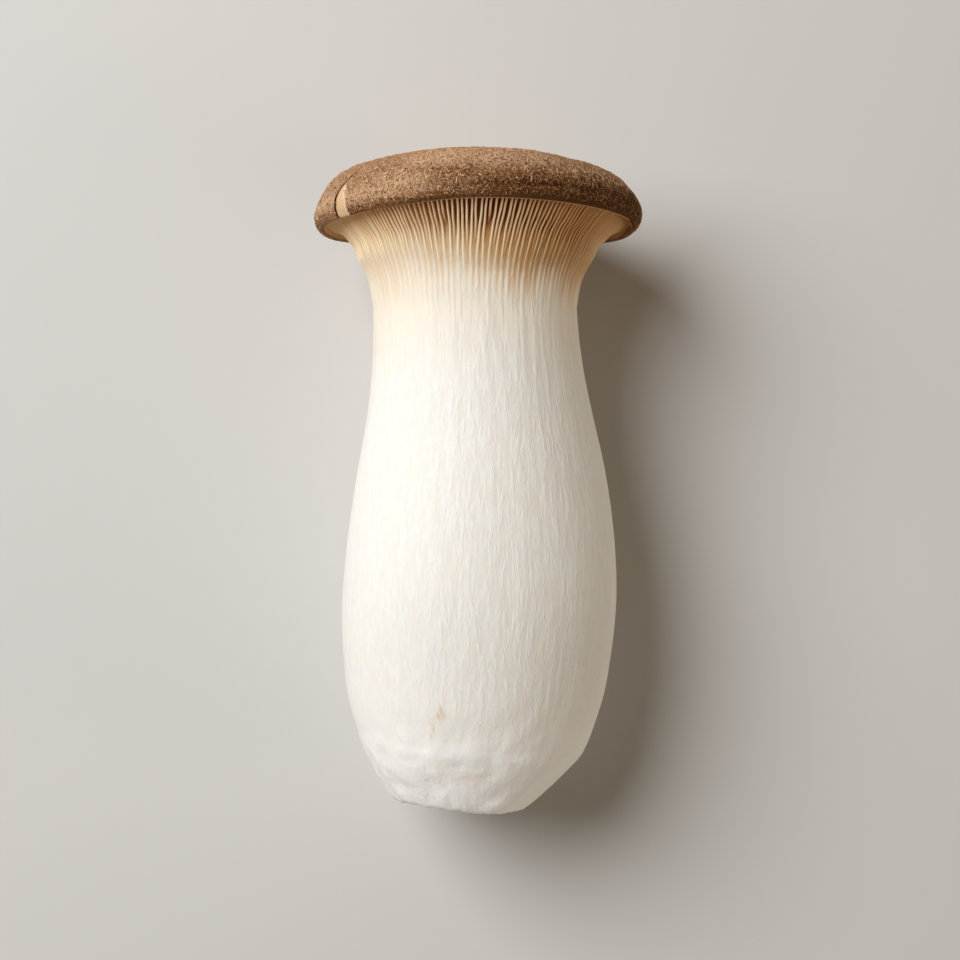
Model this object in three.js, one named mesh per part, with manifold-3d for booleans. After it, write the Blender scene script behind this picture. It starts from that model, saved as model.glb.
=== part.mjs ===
// A king oyster mushroom, lying on its side as picked: a barrel-shaped stem that narrows to a neck,
// flares out under the gills and ends in a low rounded cap. It is one solid, because it grew as one.
// Millimetres, +Z up. The stem runs along Y with the cap at +Y, and the part rests on the plane Z = 0.
// The gills stand about 1 mm apart, finer than this solid: its flare follows their free edges.
import * as THREE from 'three';
import { mergeVertices } from 'three/addons/utils/BufferGeometryUtils.js';
import Module from 'manifold-3d';

// Outline of the stem from its root end to the outer ends of the gills, as [radius, height] pairs.
const STEM_OUTLINE = [
  [10.5, -2.5],
  [15.3, 1],
  [18.5, 5],
  [21.7, 10],
  [24.0, 16],
  [26.5, 25],
  [28.0, 40],
  [27.4, 54],
  [25.4, 68],
  [23.1, 80],
  [21.5, 91],
  [20.7, 101],
  [22.1, 108.9],
  [25.2, 114.4],
  [30.7, 119.7],
];

// Outline of the cap from the lip of its margin to the crown, as [radius, height above the margin].
const CAP_OUTLINE = [
  [31.0, -2.5],
  [32.0, -2.9],
  [32.9, -1.6],
  [33.2, 0],
  [32.9, 1.3],
  [31.9, 3.1],
  [29.8, 5.4],
  [27.0, 6.1],
  [22.0, 7.35],
  [14.0, 8.8],
  [5.0, 9.25],
];
const CAP_HEIGHT = 122; // where the margin is widest
const CROWN_RISE = 9.3; // from there to the top of the cap
const ROOT_HEIGHT = -3; // end of the stem before it is trimmed

// How the body departs from a turned shape.
const ROUNDNESS = 0.95; // height of a cross-section over its width
const NECK_HEIGHT = 100; // the cap's lean starts here
const CAP_LEAN = 0.05; // the upper side of the margin is set forward by this slope
const CROWN_LEAN = 0.073; // and the upper side of the crown by this much more
const CROWN_SLANT = 0.0325; // while the crown's right side is set back
const MARGIN_RADIUS = 33;
// The margin waves to and fro: [crests round it, height of a crest, turn of a crest in degrees].
const MARGIN_WAVES = [
  [1, 0.33, 31],
  [2, 1.39, 84],
  [3, 0.52, 32],
  [4, 0.3, 2],
];
// Just under the margin the flare is slimmer at its left and right. The hollow dies out at the lip.
const SIDE_HOLLOW = 1.9;
const HOLLOW_HEIGHTS = [112, 119];
const HOLLOW_RADII = [30, 31.8];
const STEM_SWAY = 0.65; // sideways bow of the stem, an S along its length
const SWAY_START = 37;
const SWAY_LENGTH = 103;
const STEM_RISE = 0.064; // the stem climbs towards the wider cap
const STEM_AXIS = 23.45; // height of the stem's axis over the ground, at the root end

// The root end is trimmed with a knife: once across, and once along the lower right corner.
const ROOT_CUT = { point: [0, 0.6, 0], normal: [-0.11, -0.99, 0] };
const CORNER_CUT = { point: [16.65, 6.4, 24], normal: [0.643, -0.766, 0.22] };

// The margin is split on the upper left, from the lip to the edge of the crown.
const SPLIT_ANGLE = THREE.MathUtils.degToRad(147);
const SPLIT_WIDTH = 1.6;
const SPLIT_DEPTH = 2.2;
const SPLIT_LENGTH = 20;

const SIDES = 64;
const STEM_SLICES = 28;
const CAP_SLICES = 18;
const CUTTER = 400; // edge of the blocks that trim the body

const wasm = await Module();
wasm.setup();

// How far the margin's waves set a point forward. They die out towards the axis.
function waveAt(radius, angle) {
  const waves = MARGIN_WAVES.map(([crests, height, turn]) => {
    return height * Math.cos(crests * (angle - THREE.MathUtils.degToRad(turn)));
  });
  return waves.reduce((sum, wave) => sum + wave) * (radius / MARGIN_RADIUS) ** 2;
}

function skinPoint(radius, height, angle) {
  // Both shares are 0 on the stem. The first is 1 from the margin on, and the second at the crown.
  const cap = THREE.MathUtils.smoothstep(height, NECK_HEIGHT, CAP_HEIGHT);
  const crown = THREE.MathUtils.smoothstep(height, CAP_HEIGHT - 1, CAP_HEIGHT + 9);
  const sway = STEM_SWAY * Math.sin((2 * Math.PI * (height - SWAY_START)) / SWAY_LENGTH);
  const across = radius * Math.cos(angle);
  const up = ROUNDNESS * radius * Math.sin(angle);
  const margin = CAP_LEAN * up + waveAt(radius, angle);
  const slant = CROWN_LEAN * up - CROWN_SLANT * across;
  return [
    sway * (1 - cap * cap) + across,
    height + cap * margin + crown * slant,
    STEM_AXIS + STEM_RISE * height + up,
  ];
}

function hollowAt(radius, height, angle) {
  const grown = THREE.MathUtils.smoothstep(height, ...HOLLOW_HEIGHTS);
  const gone = THREE.MathUtils.smoothstep(radius, ...HOLLOW_RADII);
  return SIDE_HOLLOW * grown * (1 - gone) * Math.cos(angle) ** 2;
}

function outlinePoints(pairs, slices, lift) {
  const curve = new THREE.SplineCurve(pairs.map(([radius, height]) => new THREE.Vector2(radius, height)));
  return curve.getPoints(slices).map((point) => [point.x, point.y + lift]);
}

// A closed skin: one ring of points for each step of the outline, and a pole at each end.
function bodyGeometry() {
  const stemRings = outlinePoints(STEM_OUTLINE, STEM_SLICES, 0);
  const rings = [...stemRings, ...outlinePoints(CAP_OUTLINE, CAP_SLICES, CAP_HEIGHT)];
  const positions = [];
  rings.forEach(([radius, height], ring) => {
    for (let side = 0; side < SIDES; side++) {
      const angle = (2 * Math.PI * side) / SIDES;
      const hollow = ring < stemRings.length ? hollowAt(radius, height, angle) : 0;
      positions.push(...skinPoint(radius - hollow, height, angle));
    }
  });
  const root = positions.length / 3;
  positions.push(...skinPoint(0, ROOT_HEIGHT, 0));
  positions.push(...skinPoint(0, CAP_HEIGHT + CROWN_RISE, 0));
  const crown = root + 1;

  const faces = [];
  for (let side = 0; side < SIDES; side++) {
    const next = (side + 1) % SIDES;
    faces.push(root, side, next);
    for (let ring = 0; ring < rings.length - 1; ring++) {
      const lower = ring * SIDES;
      const upper = lower + SIDES;
      faces.push(lower + side, upper + side, upper + next);
      faces.push(lower + side, upper + next, lower + next);
    }
    const last = (rings.length - 1) * SIDES;
    faces.push(last + next, last + side, crown);
  }
  const geometry = new THREE.BufferGeometry();
  geometry.setAttribute('position', new THREE.Float32BufferAttribute(positions, 3));
  geometry.setIndex(faces);
  return geometry;
}

function toSolid(geometry) {
  const bare = geometry.clone();
  bare.deleteAttribute('normal');
  bare.deleteAttribute('uv');
  const merged = mergeVertices(bare);
  const mesh = new wasm.Mesh({
    numProp: 3,
    vertProperties: new Float32Array(merged.attributes.position.array),
    triVerts: new Uint32Array(merged.index.array),
  });
  return new wasm.Manifold(mesh);
}

function toGeometry(solid) {
  const mesh = solid.getMesh();
  const geometry = new THREE.BufferGeometry();
  geometry.setAttribute('position', new THREE.BufferAttribute(mesh.vertProperties, 3));
  geometry.setIndex(new THREE.BufferAttribute(mesh.triVerts, 1));
  return geometry;
}

// A block whose one face lies in the cut, with the rest of it on the side that is trimmed away.
function trimmingBlock({ point, normal }) {
  const outwards = new THREE.Vector3(...normal).normalize();
  const turn = new THREE.Quaternion().setFromUnitVectors(new THREE.Vector3(0, 0, 1), outwards);
  const block = new THREE.BoxGeometry(CUTTER, CUTTER, CUTTER).translate(0, 0, CUTTER / 2);
  return block.applyQuaternion(turn).translate(...point);
}

// A three-sided blade that stands in the margin, point inwards, and opens outwards.
function splitBlade() {
  const outline = new THREE.Shape();
  outline.moveTo(-SPLIT_DEPTH, 0);
  outline.lineTo(SPLIT_DEPTH, -SPLIT_WIDTH);
  outline.lineTo(SPLIT_DEPTH, SPLIT_WIDTH);
  outline.closePath();
  const blade = new THREE.ExtrudeGeometry(outline, { depth: SPLIT_LENGTH, bevelEnabled: false });
  const [marginRadius] = CAP_OUTLINE[3];
  blade.translate(marginRadius, 0, -SPLIT_LENGTH / 2);
  blade.rotateZ(-SPLIT_ANGLE);
  blade.rotateX(-Math.PI / 2);
  blade.scale(1, 1, ROUNDNESS);
  return blade.translate(0, CAP_HEIGHT, STEM_AXIS + STEM_RISE * CAP_HEIGHT);
}

// The ground presses the underside flat where the bulge and the margin touch it.
const GROUND = { point: [0, 0, 0], normal: [0, 0, -1] };

const cutters = [ROOT_CUT, CORNER_CUT, GROUND].map(trimmingBlock);
cutters.push(splitBlade());
const solid = cutters.reduce((body, cutter) => body.subtract(toSolid(cutter)), toSolid(bodyGeometry()));

const geometry = toGeometry(solid);
geometry.computeBoundingBox();
const middle = geometry.boundingBox.getCenter(new THREE.Vector3());
geometry.translate(-middle.x, -middle.y, -geometry.boundingBox.min.z);
geometry.computeVertexNormals();

const mushroom = new THREE.Mesh(
  geometry,
  new THREE.MeshStandardMaterial({ color: 0xe9e3d6, roughness: 0.7, metalness: 0 }),
);
mushroom.name = 'mushroom';

const part = new THREE.Group();
part.add(mushroom);
export default part;
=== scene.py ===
import bpy
import numpy as np
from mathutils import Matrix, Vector


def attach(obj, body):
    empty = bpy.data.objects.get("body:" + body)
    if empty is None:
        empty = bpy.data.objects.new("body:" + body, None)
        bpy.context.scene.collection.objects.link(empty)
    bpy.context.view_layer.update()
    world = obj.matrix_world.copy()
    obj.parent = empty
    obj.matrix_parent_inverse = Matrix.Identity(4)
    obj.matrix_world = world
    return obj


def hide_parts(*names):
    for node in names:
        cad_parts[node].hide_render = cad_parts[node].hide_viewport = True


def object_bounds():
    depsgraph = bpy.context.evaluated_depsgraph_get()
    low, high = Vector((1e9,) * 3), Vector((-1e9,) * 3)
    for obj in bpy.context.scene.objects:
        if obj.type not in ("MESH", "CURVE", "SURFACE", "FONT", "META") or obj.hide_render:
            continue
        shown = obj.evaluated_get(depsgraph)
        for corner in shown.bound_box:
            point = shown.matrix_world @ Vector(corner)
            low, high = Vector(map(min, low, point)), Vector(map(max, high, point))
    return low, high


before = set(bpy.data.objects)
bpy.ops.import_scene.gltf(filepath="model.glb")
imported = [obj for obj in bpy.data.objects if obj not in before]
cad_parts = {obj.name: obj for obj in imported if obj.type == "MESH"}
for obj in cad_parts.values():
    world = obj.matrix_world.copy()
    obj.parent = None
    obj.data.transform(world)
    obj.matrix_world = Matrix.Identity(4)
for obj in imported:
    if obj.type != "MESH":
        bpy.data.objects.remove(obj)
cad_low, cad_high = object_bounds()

# ---- Stem ---------------------------------------------------------------------------------
# One firm column of white flesh, which grew as bundles of long fibres, so its skin is wrinkled
# lengthwise. It ends in the bottoms of the grooves between the gills. A knife freed it from its
# block, once across the root end and once along the corner on its right.
MM = 0.001
STEM_OUTLINE = [  # distance from the axis, height over the root end
    (0.8, -2.9), (5.5, -2.8), (11.8, -2.5), (15.9, 0.7), (18.7, 4.9), (21.7, 10.0), (24.0, 16.0),
    (26.5, 25.0), (28.0, 40.0), (27.4, 54.0), (25.4, 68.0), (23.1, 80.0), (21.5, 91.0),
    (20.75, 101.0), (20.98, 104.3), (21.95, 108.95), (24.9, 114.65), (27.35, 118.3), (29.8, 121.0),
    (31.2, 122.6),
]
STEM_RINGS = 152
STEM_SIDES = 650
ROOT_DETAIL = 3.2  # rings stand this much closer up to ROOT_DETAIL_HEIGHT
ROOT_DETAIL_HEIGHT = 16.0
ROUNDNESS = 0.95  # height of a cross-section over its width
SLOW_SWELLS = [(9, 26.0, 0.009, 1)]  # with the rise as a share of the distance from the axis
NECK_HEIGHT = 100.0  # the cap's lean starts here
CAP_HEIGHT = 122.0  # where the cap's margin is widest
CROWN_HEIGHTS = (121.0, 131.0)  # the crown's own lean sets in between these
CROWN_REACH = 132.71  # where the crown ends, in front of the cap
CAP_LEAN = 0.05  # slope that sets the upper side of the margin forward
CROWN_LEAN = 0.073  # the same for the crown, on top of that
CROWN_SLANT = 0.0325  # slope that sets the crown's right side back
MARGIN_RADIUS = 33.0
MARGIN_WAVES = (  # crests round it, height of a crest, turn of a crest in degrees
    (1, 0.33, 31.0), (2, 1.39, 84.0), (3, 0.52, 32.0), (4, 0.30, 2.0),
)
SIDE_HOLLOW = 1.9  # just under the margin the flare is slimmer at its left and right
HOLLOW_HEIGHTS = (112.0, 119.0)
HOLLOW_RADII = (30.0, 31.8)  # it dies out at the lip
STEM_SWAY = 0.65  # how far the axis bends to each side
SWAY_HEIGHT = 37.0  # it crosses the middle here
SWAY_LENGTH = 103.0
STEM_RISE = 0.064  # slope of the axis, up towards the cap
STEM_AXIS = 23.45  # its height over the floor at the root end
STEM_HEART = (0.0, 24.0, 25.0)  # a point well inside the root end
# A swell has its cells round the body, the length of a cell, its rise and its seed. A START, an
# END or a FADE has the two values between which something smoothly sets in or dies out.
OPEN_SWELLS = [(84, 15.0, 0.05, 2), (160, 6.0, 0.03, 3)]
OPEN_END = (100.0, 108.0)
NECK_SWELLS = [(113, 14.0, 0.05, 9)]
NECK_START = (80.0, 96.0)
NECK_END = (98.0, 106.0)
ROOT_SWELLS = [(40, 2.8, 0.20, 4), (84, 1.6, 0.06, 5)]
ROOT_END = (10.0, 30.0)
TORN_SWELLS = [(34, 1.8, 1.0, 6), (80, 0.8, 0.6, 7)]
TORN_WIDTH = 60.0  # the torn swells' cells are counted over this width
ROOT_CUT = ((0.0, 0.6, 42.0), (-0.11, -0.99, 0.045))  # a point of it, and the way it faces
ROOT_CUT_TEAR = 0.28
ROOT_CUT_EDGE = 0.2  # radius of its edge
CORNER_CUT = ((16.65, 6.4, 24.0), (0.643, -0.766, 0.22))
CORNER_CUT_TEAR = 0.03
CORNER_CUT_EDGE = 0.6
BURR_RISE = 0.18  # flesh that the knife pushed up beside the corner cut
BURR_FROM_CUT = 0.2
BURR_HALF_WIDTH = 0.4
OCHRE_MARKS = [  # turn in degrees, height, half width, half length, strength
    (106.0, 21.4, 0.36, 1.4, 0.9), (104.6, 20.6, 0.6, 1.0, 0.4),
    (110.0, 17.6, 0.34, 2.0, 0.55), (110.6, 19.5, 0.9, 1.2, 0.2), (90.0, 8.0, 6.5, 1.2, 0.13),
]
OCHRE_SLANT = 0.42
OCHRE_RADIUS = 24.0  # distance from the axis of the skin that bears them
FLUTES = 113  # soft swells round the neck, one under each gill that is whole
FLUTE_RISE = 0.11
FLUTE_SEED = 21
FLUTE_DISORDER = 0.16
FLUTE_ENDS = (95.0, 105.0)
FLUTE_RUN_OUT = 6.0  # a flute rises to its full height over this length from its end
FLUTE_TOP_END = (110.0, 114.0)
UPPER_TURN = 77.0  # the middle of the upper side, in degrees
UPPER_FADE = (28.0, 66.0)
UPPER_FADE_LEFT = 10.0  # on the left the upper side, and the painted shade of its grooves, fades from here on
LEFT_SIDE = (0.0, 0.52)  # cosines between which it sets in, as in RIGHT_SIDE and RIGHT_END
RIGHT_TURN = 20.0
RIGHT_SIDE = (0.15, 0.95)
RIGHT_END = (0.75, 1.0)  # the painted shade is a little lighter again at the far right
RIGHT_END_PALE = 0.35
FLESH_PALE = (0.87, 0.86, 0.825, 1)
FLESH_DEEP = (0.83, 0.805, 0.75, 1)
# partly the root's own whiter flesh, partly painted light on its down-facing skin, which the lamp barely
# reaches
FLESH_ROOT_LIT = (0.97, 0.945, 0.90, 1)
FLESH_CREAM = (0.86, 0.78, 0.65, 1)
FLESH_OCHRE = (0.64, 0.48, 0.24, 1)
FLESH_CUT = (0.96, 0.94, 0.87, 1)
GROOVE_TAN = (0.74, 0.44, 0.19, 1)
# painted shade: grooves on the right side, away from the lamp, go a darker amber
GROOVE_RIGHT_SHADE = (0.50, 0.26, 0.09, 1)
# partly the grooves' own brown, partly painted shade under the cap's margin
GROOVE_BROWN_SHADE = (0.36, 0.12, 0.03, 1)
GROOVE_DEPTHS = ((104, 0.1), (109, 0.25), (114.6, 0.4), (118.3, 1.3), (121, 1.5))  # height, depth
GROOVES_START = (104.0, 109.0)
GROOVES_FILLED = (0.3, 0.6)  # share of their depth that is filled off the upper side
GROOVES_FILLED_HEIGHTS = (114.0, 118.0)
TAN_SWELLS = [(113, 30.0, 1.5, 8), (26, 30.0, 2.0, 10)]
TAN_HEIGHTS = (101.0, 111.0)
TAN_ON_FLUTES = 5.0  # the tan starts this much higher on a flute
TAN_ON_SIDES = 4.0  # and this much higher on the upper side, or lower on the right, as painted light and shade
# painted light: the tan is paler on the left side, towards the lamp
TAN_PALE_LEFT = 0.45
CREAM_SWELLS = [(18, 40.0, 3.0, 11)]
CREAM_HEIGHTS = (88.0, 112.0)
CREAM_ON_SIDES = 8.0
RIGHT_SHADE_HEIGHTS = (102.0, 109.0)
# near the margin the grooves go brown, most on the upper side: partly their own colour, partly painted shade
# under the cap
BROWN_HEIGHTS = (112.0, 117.5)
BROWN_LEAST = 0.3
ROOT_CUT_COLOUR = (-0.1, 0.2)  # distances past a cut between which its colour sets in
CORNER_CUT_COLOUR = (-0.6, 0.0)
OUTLINE_STEPS = 40  # steps on a smooth line between two points of its outline
GRAIN_ROWS = 97  # random values in a column, after which it repeats
root_place = cad_high.y / MM - CROWN_REACH  # where the root end lies, along the stem


def smooth_step(value, low, high):
    share = np.clip((value - low) / (high - low), 0, 1)
    return share * share * (3 - 2 * share)


def along_outline(outline, count, crowding=None):
    """Points on the smooth line through an outline, evenly spaced, or closer where crowding is high."""
    knots = np.array(outline, float)
    last = len(knots) - 1
    place = np.linspace(0, last, OUTLINE_STEPS * last + 1)
    first = np.minimum(place.astype(int), last - 1)
    t = (place - first)[:, None]
    p0, p1, p2, p3 = (knots[np.clip(first + k, 0, last)] for k in (-1, 0, 1, 2))
    line = 2 * p1 + (p2 - p0) * t
    line += (2 * p0 - 5 * p1 + 4 * p2 - p3) * t**2 + (3 * p1 - p0 - 3 * p2 + p3) * t**3
    line /= 2
    steps = np.linalg.norm(np.diff(line, axis=0), axis=1)
    if crowding is not None:
        steps = steps * crowding(*((line[1:] + line[:-1]) / 2).T)
    travelled = np.concatenate([[0], np.cumsum(steps)])
    wanted = np.linspace(0, travelled[-1], count)
    return np.interp(wanted, travelled, line[:, 0]), np.interp(wanted, travelled, line[:, 1])


def grain(turn, height, cells, length, seed):
    """Smooth random values from -1 to 1, in so many columns round the body, of a length along it."""
    chance = np.random.default_rng(seed)
    table = chance.uniform(-1, 1, (cells, GRAIN_ROWS))
    start = chance.uniform(0, GRAIN_ROWS, cells)
    place = np.mod(turn / (2 * np.pi), 1) * cells
    column = np.floor(place).astype(int)

    def column_values(number):
        number = number % cells
        along = height / length + start[number]
        low = np.floor(along).astype(int)
        share = smooth_step(along - low, 0, 1)
        before, behind = table[number, low % GRAIN_ROWS], table[number, (low + 1) % GRAIN_ROWS]
        return before * (1 - share) + behind * share

    share = smooth_step(place - column, 0, 1)
    return column_values(column) * (1 - share) + column_values(column + 1) * share


def swells(turn, height, kinds):
    """The rise of several kinds of swell together."""
    return sum(rise * grain(turn, height, cells, length, seed) for cells, length, rise, seed in kinds)


def hollowed(radius, height, turn):
    """The distance to the axis of a point of the flare, less the hollow at its two sides."""
    share = smooth_step(height, *HOLLOW_HEIGHTS) * (1 - smooth_step(radius, *HOLLOW_RADII))
    return radius - SIDE_HOLLOW * share * np.cos(turn) ** 2


def on_upper_side(turn, left_fade=UPPER_FADE_LEFT):
    """How much a turn belongs to the upper side, where the grooves are deepest and get the darkest painted
    shade.
    """
    away = np.mod(np.degrees(turn) - UPPER_TURN + 180, 360) - 180
    right_fade, end = UPPER_FADE
    return 1 - smooth_step(np.abs(away), np.where(away > 0, left_fade, right_fade), end)


def on_left_side(turn):
    """How much a turn belongs to the left side, towards the lamp, where the grooves' tan is painted paler as
    painted light.
    """
    return smooth_step(-np.cos(turn), *LEFT_SIDE)


def on_right_side(turn):
    """How much a turn belongs to the right side, away from the lamp, where the grooves and the gills get a
    darker amber painted shade.
    """
    share = smooth_step(np.cos(turn - np.radians(RIGHT_TURN)), *RIGHT_SIDE)
    return share * (1 - RIGHT_END_PALE * smooth_step(np.cos(turn), *RIGHT_END))


def body_points(radius, height, turn):
    """Points of the body, in millimetres, from a distance to its axis, a height along it and a turn."""
    radius = radius * (1 + swells(turn, height, SLOW_SWELLS))
    cap_share = smooth_step(height, NECK_HEIGHT, CAP_HEIGHT)
    crown_share = smooth_step(height, *CROWN_HEIGHTS)
    across = radius * np.cos(turn)
    up = ROUNDNESS * radius * np.sin(turn)
    wave = sum(rise * np.cos(crests * (turn - np.radians(start))) for crests, rise, start in MARGIN_WAVES)
    sway = STEM_SWAY * np.sin(2 * np.pi * (height - SWAY_HEIGHT) / SWAY_LENGTH)
    forward = root_place + height
    forward = forward + cap_share * (CAP_LEAN * up + wave * (radius / MARGIN_RADIUS) ** 2)
    forward = forward + crown_share * (CROWN_LEAN * up - CROWN_SLANT * across)
    return np.stack([sway * (1 - cap_share**2) + across, forward, STEM_AXIS + STEM_RISE * height + up], -1)


def outward(points):
    """Unit directions out of a skin of points [ring, side, xyz] that closes round its sides."""
    along = np.gradient(points, axis=0)
    around = np.roll(points, -1, axis=1) - np.roll(points, 1, axis=1)
    normal = np.cross(along, around)
    return normal / np.maximum(np.linalg.norm(normal, axis=2, keepdims=True), 1e-9)


def trimmed(points, cut, roughness, rounding):
    """Takes points beyond a cut back to it, towards the stem's heart, and tells how far out they were."""
    foot, normal = (np.array(part) for part in cut)
    foot = foot + (0, root_place, 0)
    heart = np.array(STEM_HEART) + (0, root_place, 0)
    normal = normal / np.linalg.norm(normal)
    beyond = (points - foot) @ normal - roughness
    depth = (heart - foot) @ normal
    excess = rounding * np.logaddexp(0, beyond / rounding)
    share = excess / np.maximum(beyond - depth, 1)
    return points + (heart - points) * share[..., None], beyond


def skin(name, points, **marks):
    """A closed mesh over a grid of points [ring, side, xyz] with a pole at each end, and its marks."""
    rings, sides = points.shape[:2]
    number = np.arange(rings * sides).reshape(rings, sides)
    after = np.roll(number, -1, axis=1)
    walls = np.stack([number[:-1], number[1:], after[1:], after[:-1]], axis=-1).reshape(-1, 4)
    first_pole, last_pole = rings * sides, rings * sides + 1
    ends = [(first_pole, a, b) for a, b in zip(number[0].tolist(), after[0].tolist())]
    ends += [(last_pole, b, a) for a, b in zip(number[-1].tolist(), after[-1].tolist())]
    poles = [points[0].mean(axis=0), points[-1].mean(axis=0)]
    placed = np.concatenate([points.reshape(-1, 3), poles]) * MM
    mesh = bpy.data.meshes.new(name)
    mesh.from_pydata(placed.tolist(), [], walls.tolist() + ends)
    mesh.shade_smooth()
    for mark, values in marks.items():
        whole = np.concatenate([values.ravel(), [values[0].mean(), values[-1].mean()]])
        mesh.attributes.new(mark, "FLOAT", "POINT").data.foreach_set("value", whole.astype(np.float32))
    piece = bpy.data.objects.new(name, mesh)
    bpy.context.scene.collection.objects.link(piece)
    return piece


def add_node(tree, kind, inputs=None, **settings):
    """A node with its settings and inputs. An input is a value or another node's output."""
    node = tree.nodes.new(kind)
    for name, value in settings.items():
        setattr(node, name, value)
    for name, value in (inputs or {}).items():
        if isinstance(value, bpy.types.NodeSocket):
            tree.links.new(value, node.inputs[name])
        else:
            node.inputs[name].default_value = value
    return node


def mark_value(tree, name):
    return add_node(tree, "ShaderNodeAttribute", attribute_name=name).outputs["Fac"]


def fibre_noise(tree, scale, stretch=(1, 1, 1), detail=3.0):
    """Noise with so many features to a millimetre. A small stretch makes them long on that axis."""
    place = add_node(tree, "ShaderNodeTexCoord").outputs["Object"]
    cells = [share * scale / MM for share in stretch]
    scaled = add_node(tree, "ShaderNodeMapping", {"Vector": place, "Scale": cells})
    inputs = {"Vector": scaled.outputs[0], "Scale": 1.0, "Detail": detail, "Roughness": 0.55}
    return add_node(tree, "ShaderNodeTexNoise", inputs).outputs["Fac"]


def eased(tree, value, low, high, least=0.0, most=1.0):
    inputs = {"Value": value, "From Min": low, "From Max": high, "To Min": least, "To Max": most}
    return add_node(tree, "ShaderNodeMapRange", inputs, interpolation_type="SMOOTHSTEP").outputs[0]


def blended(tree, share, first, second):
    mix = add_node(tree, "ShaderNodeMix", data_type="RGBA")
    for number, value in ((0, share), (6, first), (7, second)):
        if isinstance(value, bpy.types.NodeSocket):
            tree.links.new(value, mix.inputs[number])
        else:
            mix.inputs[number].default_value = value
    return mix.outputs[2]


def maths(tree, operation, *values):
    return add_node(tree, "ShaderNodeMath", dict(enumerate(values)), operation=operation).outputs[0]


def sum_of(tree, *terms):
    """The weighted sum of (value, weight) pairs."""
    total = 0.0
    for value, weight in terms:
        total = maths(tree, "MULTIPLY_ADD", value, weight, total)
    return total


def new_material(name):
    material = bpy.data.materials.new(name)
    material.use_nodes = True
    material.node_tree.nodes.clear()
    return material, material.node_tree


def finish_material(tree, relief, relief_depth, surface):
    """Ends a material in one shader, with a bump that is so many millimetres deep."""
    bump = add_node(tree, "ShaderNodeBump", {"Height": relief, "Distance": relief_depth * MM})
    shader = add_node(tree, "ShaderNodeBsdfPrincipled", {"Normal": bump.outputs[0], **surface})
    add_node(tree, "ShaderNodeOutputMaterial", {"Surface": shader.outputs[0]})


stem_radius, stem_height = along_outline(
    STEM_OUTLINE, STEM_RINGS, lambda radius, height: np.where(height < ROOT_DETAIL_HEIGHT, ROOT_DETAIL, 1.0))
stem_turn = np.linspace(0, 2 * np.pi, STEM_SIDES, endpoint=False)
stem_height, stem_turn = np.meshgrid(stem_height, stem_turn, indexing="ij")
stem_points = body_points(hollowed(stem_radius[:, None], stem_height, stem_turn), stem_height, stem_turn)

flute_chance = np.random.default_rng(FLUTE_SEED)
flute_turns = np.arange(FLUTES) + flute_chance.uniform(-FLUTE_DISORDER, FLUTE_DISORDER, FLUTES)
flute_turns *= 2 * np.pi / FLUTES
flute_ends = flute_chance.uniform(*FLUTE_ENDS, FLUTES)
flute_starts = np.append(flute_turns, flute_turns[0] + 2 * np.pi) - flute_turns[0]
flute_number = np.interp(np.mod(stem_turn - flute_turns[0], 2 * np.pi), flute_starts, np.arange(FLUTES + 1))
flute = 0.5 + 0.5 * np.cos(2 * np.pi * flute_number)
flute_end = flute_ends[np.round(flute_number).astype(int) % FLUTES]
flute *= smooth_step(stem_height, flute_end, flute_end + FLUTE_RUN_OUT)

in_the_open = 1 - smooth_step(stem_height, *OPEN_END)
at_the_neck = smooth_step(stem_height, *NECK_START) * (1 - smooth_step(stem_height, *NECK_END))
at_the_root = 1 - smooth_step(stem_height, *ROOT_END)
stem_relief = in_the_open * swells(stem_turn, stem_height, OPEN_SWELLS)
stem_relief += FLUTE_RISE * flute * (1 - smooth_step(stem_height, *FLUTE_TOP_END))
stem_relief += at_the_neck * swells(stem_turn, stem_height, NECK_SWELLS)
stem_relief += at_the_root * swells(stem_turn, stem_height, ROOT_SWELLS)
stem_points += outward(stem_points) * stem_relief[..., None]

filled_low, filled_high = GROOVES_FILLED
filling = np.interp(stem_height, *np.transpose(GROOVE_DEPTHS)) * smooth_step(stem_height, *GROOVES_START)
filling *= filled_low + (filled_high - filled_low) * smooth_step(stem_height, *GROOVES_FILLED_HEIGHTS)
filling *= 1 - on_upper_side(stem_turn)
stem_points += outward(stem_points) * filling[..., None]

torn_across = stem_points[..., 0] * 2 * np.pi / TORN_WIDTH
torn = swells(torn_across, stem_points[..., 2], TORN_SWELLS)
stem_points, past_root_cut = trimmed(stem_points, ROOT_CUT, ROOT_CUT_TEAR * torn, ROOT_CUT_EDGE)
stem_points, past_corner_cut = trimmed(stem_points, CORNER_CUT, CORNER_CUT_TEAR * torn, CORNER_CUT_EDGE)
burr = BURR_RISE * np.exp(-(((past_corner_cut + BURR_FROM_CUT) / BURR_HALF_WIDTH) ** 2))
stem_points += outward(stem_points) * burr[..., None]
stem_points[..., 2] = np.maximum(stem_points[..., 2], 0)

ochre = np.zeros_like(stem_height)
for turn, height, half_width, half_length, strength in OCHRE_MARKS:
    across = (stem_turn - np.radians(turn)) * OCHRE_RADIUS + OCHRE_SLANT * (stem_height - height)
    away = (across / half_width) ** 2 + ((stem_height - height) / half_length) ** 2
    ochre = np.maximum(ochre, strength * np.exp(-away))
tan_height = stem_height + swells(stem_turn, stem_height, TAN_SWELLS) - TAN_ON_FLUTES * flute
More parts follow.
